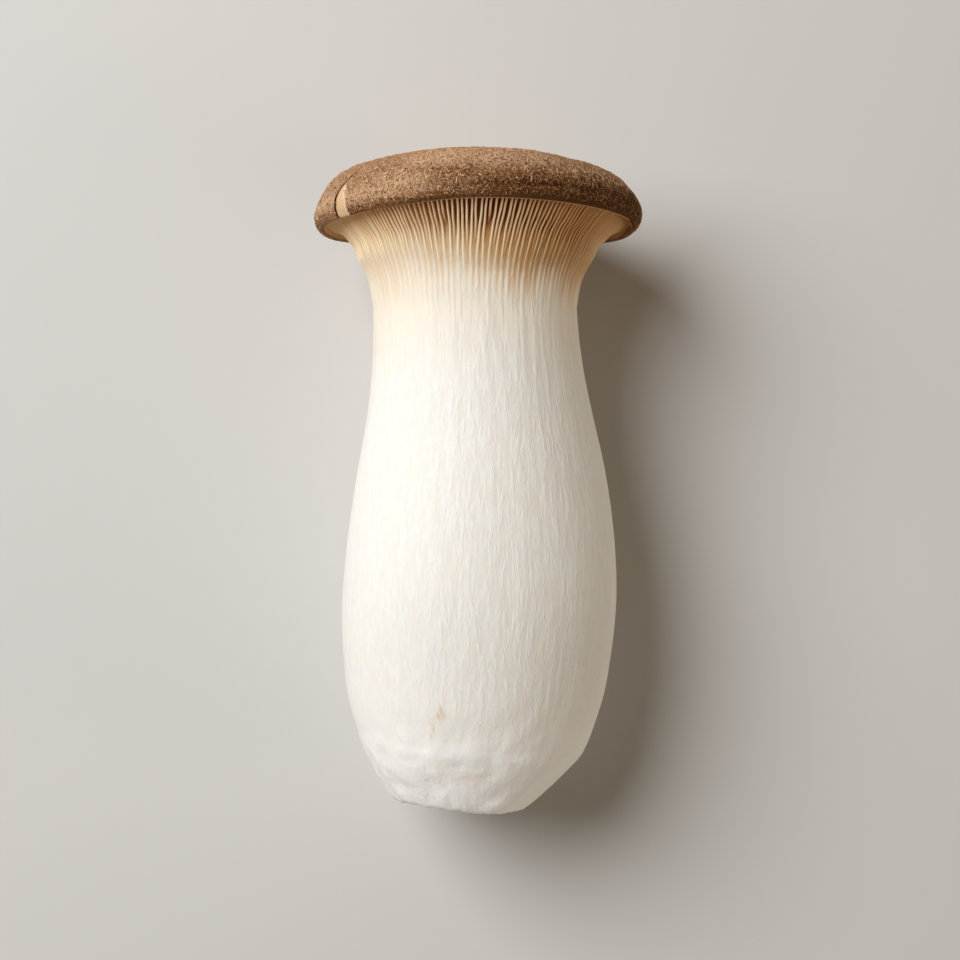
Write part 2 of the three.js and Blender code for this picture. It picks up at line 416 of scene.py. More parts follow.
# painted light and shade: tan reaches lower on the shaded right, starts higher on the lit upper side
tan_height += TAN_ON_SIDES * (on_right_side(stem_turn) - on_upper_side(stem_turn))
tan = smooth_step(tan_height, *TAN_HEIGHTS) * (1 - TAN_PALE_LEFT * on_left_side(stem_turn))
cream_height = stem_height + swells(stem_turn, stem_height, CREAM_SWELLS)
cream_height += CREAM_ON_SIDES * np.cos(stem_turn) ** 2
cream = smooth_step(cream_height, *CREAM_HEIGHTS)
# painted shade on the right of the neck, away from the lamp
amber = on_right_side(stem_turn) * smooth_step(stem_height, *RIGHT_SHADE_HEIGHTS)
# partly the grooves' own brown, partly painted shade under the margin, strongest on the upper side
groove = BROWN_LEAST + (1 - BROWN_LEAST) * on_upper_side(stem_turn)
groove *= smooth_step(stem_height, *BROWN_HEIGHTS)
at_a_cut = smooth_step(past_root_cut, *ROOT_CUT_COLOUR)
at_a_cut = np.maximum(at_a_cut, smooth_step(past_corner_cut, *CORNER_CUT_COLOUR))
stem = skin("stem", stem_points, tan=tan, cream=cream, amber=amber, groove=groove, ochre=ochre,
            cut=at_a_cut, root=at_the_root)

stem_flesh, tree = new_material("stem_flesh")
streaks = fibre_noise(tree, 1.1, (1, 0.16, 1))
fine_streaks = fibre_noise(tree, 2.6, (1, 0.12, 1))
ridges = eased(tree, streaks, 0.50, 0.60)
root_share = mark_value(tree, "root")
wrinkles = sum_of(tree, (fibre_noise(tree, 0.8, (1, 0.7, 1)), root_share))
lengthwise = sum_of(tree, (streaks, 0.5), (ridges, 0.35), (fine_streaks, 0.5))
calmed = maths(tree, "MULTIPLY_ADD", root_share, -0.6, 1.0)
tones = sum_of(tree, (streaks, 0.5), (fine_streaks, 0.5))
colour = blended(tree, eased(tree, tones, 0.38, 0.60), FLESH_DEEP, FLESH_PALE)
# paler root end: partly its own whiter flesh, partly painted light
colour = blended(tree, root_share, colour, FLESH_ROOT_LIT)
colour = blended(tree, mark_value(tree, "cream"), colour, FLESH_CREAM)
colour = blended(tree, mark_value(tree, "cut"), colour, FLESH_CUT)
colour = blended(tree, mark_value(tree, "ochre"), colour, FLESH_OCHRE)
tan_share = mark_value(tree, "tan")
amber_share = maths(tree, "MULTIPLY", tan_share, mark_value(tree, "amber"))
colour = blended(tree, tan_share, colour, GROOVE_TAN)
colour = blended(tree, amber_share, colour, GROOVE_RIGHT_SHADE)
colour = blended(tree, mark_value(tree, "groove"), colour, GROOVE_BROWN_SHADE)
relief = sum_of(tree, (lengthwise, calmed), (wrinkles, 1.6))
finish_material(tree, relief, 0.12, {
    "Base Color": colour,
    "Roughness": 0.6,
    "Specular IOR Level": 0.35,
    "Subsurface Weight": 0.4,
    "Subsurface Radius": (3.4, 2.3, 1.5),
    "Subsurface Scale": MM,
})
stem.data.materials.append(stem_flesh)

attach(stem, "root")
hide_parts("mushroom")

# ---- Gills --------------------------------------------------------------------------------
# About 190 thin blades of flesh that stand side by side under the cap, from its margin to the
# neck. They grew as folds of the stem's own skin. More than a third stop on the way or run into
# a neighbour, and the rest fade out among the wrinkles of the stem.
GILL_EDGE = [  # the blades' free edge, from inside the margin to its last trace on the stem
    (31.9, 121.0), (30.9, 119.8), (28.3, 117.3), (25.2, 114.4), (22.1, 108.9), (21.1, 104.0), (20.85, 98.0),
]
GILLS_AT_MARGIN = 190
SHORT_GILLS = 77
GILL_SEED = 20
GILL_DISORDER = 0.15
GILL_BEND = (0.05, 0.75)  # parts of its run between which a long gill goes over to its flute
LONG_LENGTHS = (0.78, 1.0)  # shares of the whole run
SHORT_LENGTHS = (0.55, 0.8)
EARLY_LENGTHS = (0.24, 0.42)
EARLY_SHARE = 0.15  # share of the short ones that stop early, on the upper side
JOINING_SHARE = 0.2  # share of the short ones that run into a neighbour
GILL_STRAIGHTENING = 0.4  # a short gill stands midway between its neighbours from this part on
GILL_WAVES = ((9, 0.06), (31, 0.03))  # how often a gill bends sideways, and how far
GILL_WAVE_STARTS = 6.3  # a bend starts anywhere up to this, about one whole turn
GILL_SUNK = 0.25  # how far under the skin a gill's end lies
LONG_SINKING = (0.6, 1.0)  # parts of its own run between which a gill goes down to there
SHORT_SINKING = (0.4, 1.0)
JOINING = (0.45, 1.0)  # and between which one of the short ones moves over to its neighbour
JOINED_SUNK = 0.15
RIGHT_SHADE_ENDS = (0.1, 0.5)  # shares of the run, from the neck, where the painted shade sets in on the right
GILL_BAND = (-0.01, 0.0, 0.01)  # turns of three lines side by side, which tell how the skin faces
GILL_STEPS = 34
LEAST_GILL_STEPS = 12
GILL_HALF_WIDTHS = [(0.0, 0.18), (0.3, 0.20), (0.7, 0.22), (0.9, 0.20), (1.0, 0.08)]
EDGE_STEPS = 200  # steps in which the edge and the bottom of the grooves are compared
BOTTOM_STEPS = 2000
GILL_ROOTING = 0.35  # how far a blade goes on under the bottom of its groove
GILL_SECTION_POINTS = 10
GILL_FULLNESS = 1.5  # over 1, a blade's sides are flatter than an oval's
GILL_FOOT = 0.5  # how much wider a blade is where it leaves the skin
GILL_EDGE_TAN = (0.78, 0.50, 0.27, 1)
# painted highlight: on the upper side the gills' edges are coloured a lighter cream
GILL_EDGE_CREAM_LIT = (0.98, 0.70, 0.45, 1)
# painted shade: gill edges and feet on the right, near the margin, go a darker amber
GILL_EDGE_RIGHT_SHADE = (0.66, 0.38, 0.165, 1)
# painted highlight on the gills' edges away from the margin
GILL_EDGE_BRIGHT = (1.0, 0.79, 0.54, 1)
GILL_EDGE_PALE = (0.90, 0.82, 0.69, 1)
GILL_FOOT_TAN = (0.80, 0.44, 0.18, 1)
GILL_FOOT_RIGHT_SHADE = (0.48, 0.23, 0.07, 1)
# partly the feet's own brown, partly painted shade under the cap's margin on the upper side
GILL_FOOT_BROWN_SHADE = (0.40, 0.13, 0.03, 1)
GILL_FOOT_PALE = (0.90, 0.71, 0.47, 1)


def line_mesh(name, lines, **marks):
    """A mesh of open lines, one for each array of points, with the vectors or numbers marked on them."""
    ends = np.cumsum([len(line) for line in lines])
    number = np.arange(ends[-1])
    steps = np.delete(np.stack([number[:-1], number[1:]], axis=1), ends[:-1] - 1, axis=0)
    mesh = bpy.data.meshes.new(name)
    mesh.from_pydata((np.concatenate(lines) * MM).tolist(), steps.tolist(), [])
    for mark, values in marks.items():
        whole = np.concatenate(values).astype(np.float32)
        kind, key = ("FLOAT_VECTOR", "vector") if whole.ndim == 2 else ("FLOAT", "value")
        mesh.attributes.new(mark, kind, "POINT").data.foreach_set(key, whole.ravel())
    piece = bpy.data.objects.new(name, mesh)
    bpy.context.scene.collection.objects.link(piece)
    return piece


def new_growth(name, **inputs):
    """A Geometry Nodes tree with named inputs, and the nodes at its two ends."""
    tree = bpy.data.node_groups.new(name, "GeometryNodeTree")
    tree.interface.new_socket("Geometry", in_out="INPUT", socket_type="NodeSocketGeometry")
    for label, kind in inputs.items():
        tree.interface.new_socket(label.replace("_", " "), in_out="INPUT", socket_type="NodeSocket" + kind)
    tree.interface.new_socket("Geometry", in_out="OUTPUT", socket_type="NodeSocketGeometry")
    return tree, tree.nodes.new("NodeGroupInput").outputs, tree.nodes.new("NodeGroupOutput")


def scaled(tree, vector, scale):
    inputs = {"Vector": vector, "Scale": scale}
    return add_node(tree, "ShaderNodeVectorMath", inputs, operation="SCALE").outputs[0]


def marked(tree, name, kind="FLOAT"):
    return add_node(tree, "GeometryNodeInputNamedAttribute", {"Name": name}, data_type=kind).outputs[0]


def keeping_places(tree, geometry):
    """A geometry, and a field of the places that its points have now."""
    node = add_node(tree, "GeometryNodeCaptureAttribute", {"Geometry": geometry})
    node.capture_items.new("VECTOR", "Place")
    tree.links.new(tree.nodes.new("GeometryNodeInputPosition").outputs[0], node.inputs["Place"])
    return node.outputs["Geometry"], node.outputs["Place"]


def grow(piece, tree, **sizes):
    """Runs a Geometry Nodes tree on a piece, with these sizes, and keeps the result as a plain mesh."""
    modifier = piece.modifiers.new(tree.name, "NODES")
    modifier.node_group = tree
    for socket in tree.interface.items_tree:
        if socket.in_out == "INPUT" and socket.name.replace(" ", "_") in sizes:
            modifier[socket.identifier] = sizes[socket.name.replace(" ", "_")]
    settled = bpy.context.evaluated_depsgraph_get()
    grown = piece.evaluated_get(settled)
    mesh = bpy.data.meshes.new_from_object(grown, preserve_all_data_layers=True, depsgraph=settled)
    mesh.name = piece.name
    piece.modifiers.remove(modifier)
    piece.data = mesh


edge_run = np.linspace(0, 1, EDGE_STEPS)
edge_radius, edge_height = along_outline(GILL_EDGE, EDGE_STEPS)
bottom_radius, bottom_height = along_outline(STEM_OUTLINE, BOTTOM_STEPS)
gap = np.hypot(edge_radius[:, None] - bottom_radius, edge_height[:, None] - bottom_height).min(axis=1)

gill_chance = np.random.default_rng(GILL_SEED)
is_short = np.diff(np.floor(np.arange(GILLS_AT_MARGIN + 1) * SHORT_GILLS / GILLS_AT_MARGIN + 0.5)) > 0
longs_before = np.cumsum(~is_short)
slot_turns = gill_chance.uniform(-GILL_DISORDER, GILL_DISORDER, GILLS_AT_MARGIN)
slot_turns += np.arange(GILLS_AT_MARGIN)
slot_turns *= 2 * np.pi / GILLS_AT_MARGIN
slot_turns += (flute_turns - slot_turns[~is_short]).mean()
margin_turns = slot_turns[~is_short]


def long_gill_turn(number, run):
    """The turn of a full-length gill at places along its run, where numbers count on round the body."""
    lap, number = divmod(number, FLUTES)
    bend = (flute_turns[number] - margin_turns[number]) * smooth_step(run, *GILL_BEND)
    return margin_turns[number] + bend + 2 * np.pi * lap


gill_lines, gill_to_root, gill_across = [], [], []
gill_runs, gill_sinks, gill_tones, gill_grooves, gill_ambers = [], [], [], [], []
for slot in range(GILLS_AT_MARGIN):
    number = longs_before[slot] - 1
    joins = False
    length = gill_chance.uniform(*LONG_LENGTHS)
    if is_short[slot]:
        stops_early = gill_chance.uniform() < EARLY_SHARE * on_upper_side(slot_turns[slot])
        joins = gill_chance.uniform() < JOINING_SHARE and not stops_early
        length = gill_chance.uniform(*(EARLY_LENGTHS if stops_early else SHORT_LENGTHS))
    own_run = np.linspace(0, 1, max(LEAST_GILL_STEPS, round(GILL_STEPS * length)))
    run = own_run * length
    turn = long_gill_turn(number, run)
    sunk = smooth_step(own_run, *LONG_SINKING)
    if is_short[slot]:
        next_turn = long_gill_turn(number + 1, run)
        middle = (turn + next_turn) / 2
        joined = turn if gill_chance.uniform() < 0.5 else next_turn
        turn = middle + (slot_turns[slot] - middle[0]) * (1 - smooth_step(run, 0, GILL_STRAIGHTENING))
        turn += joins * (joined - turn) * smooth_step(own_run, *JOINING)
        if joins:
            sunk = JOINED_SUNK * own_run
        elif not stops_early:
            sunk = smooth_step(own_run, *SHORT_SINKING)
    height = np.interp(run, edge_run, edge_height)
    radius = hollowed(np.interp(run, edge_run, edge_radius), height, turn)
    starts = gill_chance.uniform(0, GILL_WAVE_STARTS, len(GILL_WAVES))
    sideways = sum(far * np.sin(often * run + start) for (often, far), start in zip(GILL_WAVES, starts))
    band = (turn + sideways / radius)[:, None] + GILL_BAND
    band = body_points(radius[:, None], height[:, None], band)
    edge = band[:, 1]
    into_flesh = np.cross(np.gradient(edge, axis=0), band[:, 2] - band[:, 0])
    into_flesh /= np.linalg.norm(into_flesh, axis=1, keepdims=True)
    across = np.cross(np.gradient(edge, axis=0), into_flesh)
    across /= np.linalg.norm(across, axis=1, keepdims=True)
    depth = np.interp(run, edge_run, gap)[:, None]
    sunk = sunk[:, None] * (depth + GILL_SUNK)
    gill_lines.append(edge + sunk * into_flesh)
    gill_to_root.append((depth + GILL_ROOTING - sunk) * into_flesh * MM)
    gill_across.append(across * np.interp(own_run, *np.transpose(GILL_HALF_WIDTHS))[:, None] * MM)
    gill_runs.append(run)
    gill_sinks.append(own_run * is_short[slot])
    gill_tones.append(np.full_like(run, gill_chance.uniform()))
    gill_grooves.append(on_upper_side(turn))
    # painted shade on the right side, strongest near the margin
    gill_ambers.append(on_right_side(turn) * smooth_step(1 - run, *RIGHT_SHADE_ENDS))
gills = line_mesh("gills", gill_lines, to_root=gill_to_root, across=gill_across, run=gill_runs,
                  sink=gill_sinks, tone=gill_tones, groove=gill_grooves, amber=gill_ambers)

gill_flesh, tree = new_material("gill_flesh")
foot_share = eased(tree, mark_value(tree, "foot"), 0.04, 0.67)
sink_share = eased(tree, mark_value(tree, "sink"), 0.3, 0.8, 0.0, 0.85)
foot_share = maths(tree, "MAXIMUM", foot_share, sink_share)
run_share = sum_of(tree, (mark_value(tree, "run"), 1.0), (mark_value(tree, "tone"), 0.12))
# On the upper side the edges are painted lighter, as painted highlight, and near the margin the feet darker,
# partly as painted shade
edge_colour = blended(tree, mark_value(tree, "groove"), GILL_EDGE_TAN, GILL_EDGE_CREAM_LIT)
# painted highlight: edges brighter further from the margin
edge_colour = blended(tree, eased(tree, run_share, 0.1, 0.45), edge_colour, GILL_EDGE_BRIGHT)
# painted shade on the right side
edge_colour = blended(tree, mark_value(tree, "amber"), edge_colour, GILL_EDGE_RIGHT_SHADE)
edge_colour = blended(tree, eased(tree, run_share, 0.6, 0.95), edge_colour, GILL_EDGE_PALE)
# painted shade at the feet on the upper side, near the margin
deep_share = maths(tree, "MULTIPLY", mark_value(tree, "groove"), eased(tree, run_share, 0.2, 0.6, 1.0, 0.0))
foot_colour = blended(tree, mark_value(tree, "amber"), GILL_FOOT_TAN, GILL_FOOT_RIGHT_SHADE)
foot_colour = blended(tree, deep_share, foot_colour, GILL_FOOT_BROWN_SHADE)
dark_share = sum_of(tree, (mark_value(tree, "groove"), 1.0), (mark_value(tree, "amber"), 1.0))
foot_run = sum_of(tree, (run_share, 1.0), (dark_share, -0.18))
foot_colour = blended(tree, eased(tree, foot_run, 0.32, 0.72), foot_colour, GILL_FOOT_PALE)
finish_material(tree, fibre_noise(tree, 3.0, (1, 0.3, 1)), 0.04, {
    "Base Color": blended(tree, foot_share, edge_colour, foot_colour),
    "Roughness": 0.55,
    "Specular IOR Level": 0.3,
    "Subsurface Weight": 0.25,
    "Subsurface Radius": (1.2, 0.7, 0.4),
    "Subsurface Scale": MM,
})

tree, given, result = new_growth(
    "blades_on_lines", Section_Points="Int", Fullness="Float", Foot="Float", Material="Material")
lines = add_node(tree, "GeometryNodeMeshToCurve", {"Mesh": given["Geometry"]})
lines, line_place = keeping_places(tree, lines.outputs[0])
section = {"Resolution": given["Section Points"], "Radius": 1.0}
section = add_node(tree, "GeometryNodeCurvePrimitiveCircle", section)
section, section_place = keeping_places(tree, section.outputs[0])
blades = {"Curve": lines, "Profile Curve": section, "Fill Caps": True}
blades = add_node(tree, "GeometryNodeCurveToMesh", blades)
section_place = add_node(tree, "ShaderNodeSeparateXYZ", {0: section_place}).outputs
foot = maths(tree, "MULTIPLY_ADD", section_place["Y"], -0.5, 0.5)
side = maths(tree, "MULTIPLY", section_place["X"], given["Fullness"])
side = maths(tree, "MAXIMUM", maths(tree, "MINIMUM", side, 1.0), -1.0)
side = maths(tree, "MULTIPLY", side, maths(tree, "MULTIPLY_ADD", foot, given["Foot"], 1.0))
across = scaled(tree, marked(tree, "across", "FLOAT_VECTOR"), side)
inward = scaled(tree, marked(tree, "to_root", "FLOAT_VECTOR"), foot)
offset = add_node(tree, "ShaderNodeVectorMath", {0: across, 1: inward}, operation="ADD").outputs[0]
blades = {"Geometry": blades.outputs[0], "Position": line_place, "Offset": offset}
blades = add_node(tree, "GeometryNodeSetPosition", blades)
blades = {"Geometry": blades.outputs[0], "Name": "foot", "Value": foot}
blades = add_node(tree, "GeometryNodeStoreNamedAttribute", blades, data_type="FLOAT")
blades = add_node(tree, "GeometryNodeSetShadeSmooth", {"Geometry": blades.outputs[0]})
blades = add_node(tree, "GeometryNodeRealizeInstances", {"Geometry": blades.outputs[0]})
blades = {"Geometry": blades.outputs[0], "Material": given["Material"]}
blades = add_node(tree, "GeometryNodeSetMaterial", blades)
tree.links.new(blades.outputs[0], result.inputs[0])
grow(gills, tree, Section_Points=GILL_SECTION_POINTS, Fullness=GILL_FULLNESS, Foot=GILL_FOOT,
     Material=gill_flesh)

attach(gills, "root")

# ---- Cap ----------------------------------------------------------------------------------
# A low dome of the same flesh under a thin brown skin, which turns in at the margin to a narrow
# lip round the gills. As it dried the margin sank in a crease along the upper right, and it split
# at the upper left, where pale flesh shows in the crack.
CAP_OUTLINE = [  # distance from the axis, height over the margin
    (29.9, 1.6), (30.7, -0.9), (31.1, -2.3), (31.9, -2.95), (32.9, -1.6), (33.2, 0.0), (32.9, 1.3),
    (31.9, 3.1), (29.8, 5.4), (27.0, 6.1), (22.0, 7.35), (14.0, 8.8), (5.0, 9.25), (0.7, 9.3),
]
CAP_RINGS = 132
CAP_SIDES = 740
MARGIN_DETAIL = 1.6  # rings stand this much closer up to MARGIN_DETAIL_RISE
MARGIN_DETAIL_RISE = 6.0
SPLIT_DETAIL = 5.0  # sides stand this much closer round the split
SPLIT_TURN = 144.5  # the middle of the split, in degrees
SPLIT_HALF = 8.0
SPLIT_DETAIL_FADE = 3.0
TURN_STEPS = 7200
CAP_SWELLS = [(21, 12.0, 0.12, 31)]
LIP_SWELLS = [(90, 3.0, 0.07, 32)]
CAP_SWELLS_START = (-1.0, 5.0)  # ways over the skin from the lip, as in every WAY
LIP_SWELLS_START = (0.0, 3.0)
SWELLS_END = (12.0, 30.0)
SPLIT_EDGES = [  # way over the skin from the lip, turns of the right and the left edge, depth
    (-0.3, 142.6, 148.6, 0.4), (0.8, 142.4, 149.4, 0.9), (2.3, 142.6, 149.3, 1.2), (3.8, 142.9, 148.8, 1.2),
    (5.1, 143.2, 148.3, 1.1), (5.9, 143.6, 146.6, 0.9), (6.6, 143.3, 144.3, 0.8), (8.0, 140.4, 141.3, 0.7),
    (8.8, 138.3, 139.1, 0.6), (9.8, 136.3, 136.9, 0.0),
]
SPLIT_SWELLS = [(60, 0.7, 0.25, 34)]  # in degrees, along its left edge
SPLIT_RIGHT_SHARE = 0.3  # the right edge is jagged by this share of the left one
SPLIT_FALL = 2.5  # over 1, the split's floor falls mostly at its left
SPLIT_START = (-0.3, 1.0)
SPLIT_LEAST_WIDTH = 0.1
SPLIT_WALL = (0.1, 0.8)  # how far left of the left edge its wall lies, in degrees
SPLIT_RIGHT_WALL = (0.0, 0.06)
SPLIT_RIM_RISE = 0.28
SPLIT_RIM_OUT = 0.25
SPLIT_RIM_HALF = 0.3
SPLIT_RIM_WAY = ((-0.4, 0.6), (5.2, 6.8))
SPLIT_DEEP_SHARES = (0.86, 0.97)  # the deep part of its floor, coloured dark as painted shade
SPLIT_LINE = 0.8  # beyond the open part it goes on as a painted line of shade
SPLIT_LINE_HALF = 0.6
SPLIT_LINE_WAY = (5.0, 6.5)
SPLIT_BARE_HALF = 1.1
# a crease sunk in the margin, also coloured darker as painted shade
CREASE_SWELLS = [(24, 30.0, 0.35, 33)]
CREASE_FROM_LIP = 3.0
CREASE_DEPTH = 0.5
CREASE_HALF_WIDTH = 0.6
CREASE_TURNS = ((15.0, 60.0), (78.0, 105.0))  # it starts and ends between these
LOBE_TURNS = ((149.0, 151.0), (172.0, 184.0))  # the smooth lobe left of the split, likewise
LOBE_BARE = 0.75
LOBE_SHADE = 0.7
LOBE_SHADE_WAY = (1.5, 4.5)
NAP_START = (0.9, 2.0)  # ways from the lip, like the next pair
NAP_THINNING = (8.0, 13.0)
NAP_THINNED = 0.85
NAP_OFF_FLOOR = (1.0, 2.0)  # heights over the floor
NAP_OFF_SPLIT = 0.9
DUSK_TURN = 45.0  # the middle of the painted shade on the margin's right side
DUSK_FADE = (25.0, 62.0)
DUSK_WAY = (3.0, 6.6)
DUSK_SHIFT = 0.03  # the dark part narrows by this much for each degree
DUSK_SHIFT_TURN = 60.0
LIP_TURNS = ((0.15, (95.0, 120.0)), (0.8, (150.0, 175.0)))  # turns where brown skin goes further in
LIP_RIGHT = 0.6  # and how much further it goes at the far right
LIP_RIGHT_END = (0.94, 0.99)
# the lip of the upper side is coloured darker too
LIP_DUSK = 0.8
LIP_DUSK_WAY = (0.8, 1.5)
UPPER_LIGHT = (0.49, 0.93)  # how light the upper skin is at the two turns below: partly its own tone, partly painted light from the lamp at the upper left
UPPER_LIGHT_TURNS = (25.0, 90.0)
UPPER_LIGHT_LOSS = 0.45
UPPER_LIGHT_LOSS_TURNS = (105.0, 125.0)
UPPER_LIGHT_WAY = (4.2, 8.5)
# painted light: the skin is coloured lighter on its left, towards the lamp
LEFT_LIGHT = 0.8
LEFT_LIGHT_TURNS = (92.0, 116.0)
LEFT_LIGHT_WAY = (1.3, 2.8)
LEFT_LIGHT_LOSS = 0.35
LEFT_LIGHT_LOSS_WAY = (4.0, 6.5)
UPPER_HALF = (-0.1, 0.25)  # sines
LOWER_LIGHT = (0.35, 0.65)
LOWER_LIGHT_WAY = (4.0, 9.0)
CROWN_LIGHT = 0.72
CROWN_LIGHT_WAY = (9.0, 17.0)
CROWN_SMOOTH_WAY = (6.8, 9.5)
LIGHT_SMOOTH = 0.2  # light skin is this much smoother
CAP_DARK = (0.10, 0.034, 0.010, 1)
CAP_BROWN = (0.36, 0.175, 0.075, 1)
CAP_LIGHT = (0.54, 0.345, 0.205, 1)
CAP_DUSKY = (0.070, 0.027, 0.007, 1)
CAP_LIP = (0.66, 0.40, 0.19, 1)
CAP_INSIDE = (0.70, 0.40, 0.17, 1)
SPLIT_FLESH = (0.66, 0.44, 0.25, 1)
# partly the pale torn edge, partly painted highlight where it catches the lamp
SPLIT_RIM = (0.88, 0.76, 0.56, 1)
# painted shade in the split
SPLIT_DEEP = (0.16, 0.07, 0.025, 1)


def between(value, start, end):
    """A smooth rise between the two values of start and a smooth fall between those of end."""
    return smooth_step(value, *start) * (1 - smooth_step(value, *end))


def hump(away, half_width):
    return np.exp(-((away / half_width) ** 2))


cap_radius, cap_rise = along_outline(
    CAP_OUTLINE, CAP_RINGS, lambda radius, rise: np.where(rise < MARGIN_DETAIL_RISE, MARGIN_DETAIL, 1.0))
from_lip = np.concatenate([[0], np.cumsum(np.hypot(np.diff(cap_radius), np.diff(cap_rise)))])
from_lip -= from_lip[cap_rise.argmin()]
cap_turn = np.linspace(0, 360, TURN_STEPS + 1)
from_split = np.abs(cap_turn[1:] - SPLIT_TURN)
turn_steps = 1 - smooth_step(from_split, SPLIT_HALF, SPLIT_HALF + SPLIT_DETAIL_FADE)
turn_steps = np.cumsum(np.append(0, 1 + (SPLIT_DETAIL - 1) * turn_steps))
cap_turn = np.interp(np.linspace(0, turn_steps[-1], CAP_SIDES, endpoint=False), turn_steps, cap_turn)
from_lip, turn_degrees = np.meshgrid(from_lip, cap_turn, indexing="ij")
cap_turn = np.radians(turn_degrees)
cap_points = body_points(cap_radius[:, None], CAP_HEIGHT + cap_rise[:, None], cap_turn)

split_way, split_right, split_left, split_depth = np.transpose(SPLIT_EDGES)
jagged = swells(cap_turn, from_lip, SPLIT_SWELLS) * smooth_step(from_lip, *SPLIT_START)
split_right = np.interp(from_lip, split_way, split_right) + SPLIT_RIGHT_SHARE * jagged
split_left = np.interp(from_lip, split_way, split_left) + jagged
split_depth = np.interp(from_lip, split_way, split_depth, left=0)
split_width = np.maximum(split_left - split_right, SPLIT_LEAST_WIDTH)
split_across = (turn_degrees - split_right) / split_width
split_slope = np.clip(split_across, 0, 1) ** SPLIT_FALL
split_wall = 1 - smooth_step(turn_degrees - split_left, *SPLIT_WALL)
split_open = smooth_step(split_across, *SPLIT_RIGHT_WALL) * split_wall * (split_depth > 0)
split_rim = hump(turn_degrees - split_right + SPLIT_RIM_OUT, SPLIT_RIM_HALF)
split_rim *= between(from_lip, *SPLIT_RIM_WAY)

crease_way = CREASE_FROM_LIP + swells(cap_turn, from_lip, CREASE_SWELLS)
crease = between(turn_degrees, *CREASE_TURNS)
crease *= hump(from_lip - crease_way, CREASE_HALF_WIDTH)
cap_relief = smooth_step(from_lip, *CAP_SWELLS_START) * swells(cap_turn, from_lip, CAP_SWELLS)
cap_relief += smooth_step(from_lip, *LIP_SWELLS_START) * swells(cap_turn, from_lip, LIP_SWELLS)
cap_relief *= 1 - smooth_step(from_lip, *SWELLS_END)
cap_relief += SPLIT_RIM_RISE * split_rim - CREASE_DEPTH * crease
cap_points += outward(cap_points) * cap_relief[..., None]
cap_points[..., 2] -= split_depth * split_slope * split_wall
cap_points[..., 2] = np.maximum(cap_points[..., 2], 0)

on_lobe = between(turn_degrees, *LOBE_TURNS)
nap = smooth_step(from_lip, *NAP_START) * (1 - NAP_THINNED * smooth_step(from_lip, *NAP_THINNING))
nap *= (1 - split_open) * (1 - split_rim) * (1 - LOBE_BARE * on_lobe)
nap *= smooth_step(cap_points[..., 2], *NAP_OFF_FLOOR)
# Painted shade: the margin is coloured far darker on its right, away from the lamp; along the upper side's
# lip it is darker too
dusk = 1 - smooth_step(np.abs(turn_degrees - DUSK_TURN), *DUSK_FADE)
dusk *= 1 - smooth_step(from_lip + DUSK_SHIFT * (turn_degrees - DUSK_SHIFT_TURN), *DUSK_WAY)
lip_dusk = LIP_DUSK * (1 - smooth_step(from_lip, *LIP_DUSK_WAY))
dusk = np.maximum(dusk, lip_dusk * on_upper_side(cap_turn, UPPER_FADE[0]))
# Lighter towards the top and the left, darker on the right: partly the skin's own tone, partly painted light
# and sheen from the lamp
upper_low, upper_high = UPPER_LIGHT
light_above = upper_low + (upper_high - upper_low) * smooth_step(turn_degrees, *UPPER_LIGHT_TURNS)
light_above -= UPPER_LIGHT_LOSS * smooth_step(turn_degrees, *UPPER_LIGHT_LOSS_TURNS)
light_above *= smooth_step(from_lip, *UPPER_LIGHT_WAY)
light_left = LEFT_LIGHT * smooth_step(turn_degrees, *LEFT_LIGHT_TURNS)
light_left *= smooth_step(from_lip, *LEFT_LIGHT_WAY)
light_left *= 1 - LEFT_LIGHT_LOSS * smooth_step(from_lip, *LEFT_LIGHT_LOSS_WAY)
upper_half = smooth_step(np.sin(cap_turn), *UPPER_HALF)
light = upper_half * np.maximum(light_above, light_left)
lower_low, lower_high = LOWER_LIGHT
light_below = lower_low + (lower_high - lower_low) * smooth_step(from_lip, *LOWER_LIGHT_WAY)
light += (1 - upper_half) * light_below
light += (CROWN_LIGHT - light) * smooth_step(from_lip, *CROWN_LIGHT_WAY)
light *= 1 - LOBE_SHADE * on_lobe * (1 - smooth_step(from_lip, *LOBE_SHADE_WAY))
# Painted shade: the split's deep floor and a line along its left edge are coloured dark
split_line = hump(turn_degrees - split_left, SPLIT_LINE_HALF) * (split_depth > 0)
deep = smooth_step(split_across, *SPLIT_DEEP_SHARES) * split_wall * (split_depth > 0)
deep = np.maximum(deep, SPLIT_LINE * split_line * smooth_step(from_lip, *SPLIT_LINE_WAY))
nap *= 1 - NAP_OFF_SPLIT * hump(turn_degrees - split_left, SPLIT_BARE_HALF) * (split_depth > 0)
in_the_lip = from_lip.copy()
for further_in, turns in LIP_TURNS:
    in_the_lip += further_in * smooth_step(turn_degrees, *turns)
in_the_lip += LIP_RIGHT * smooth_step(np.cos(cap_turn), *LIP_RIGHT_END)
cap = skin("cap", cap_points, in_the_lip=in_the_lip, nap=nap, split=split_open, rim=split_rim, deep=deep,
           crease=crease, lobe=on_lobe, dusk=dusk, light=light,
           smooth=np.maximum(smooth_step(from_lip, *CROWN_SMOOTH_WAY), LIGHT_SMOOTH * light))

cap_skin, tree = new_material("cap_skin")
fuzz = fibre_noise(tree, 2.4, detail=2.0)
patches = fibre_noise(tree, 0.16, detail=4.0)
way_in = mark_value(tree, "in_the_lip")
brown_share = eased(tree, sum_of(tree, (fuzz, 0.8), (patches, 0.2)), 0.40, 0.60)
colour = blended(tree, brown_share, CAP_DARK, CAP_BROWN)
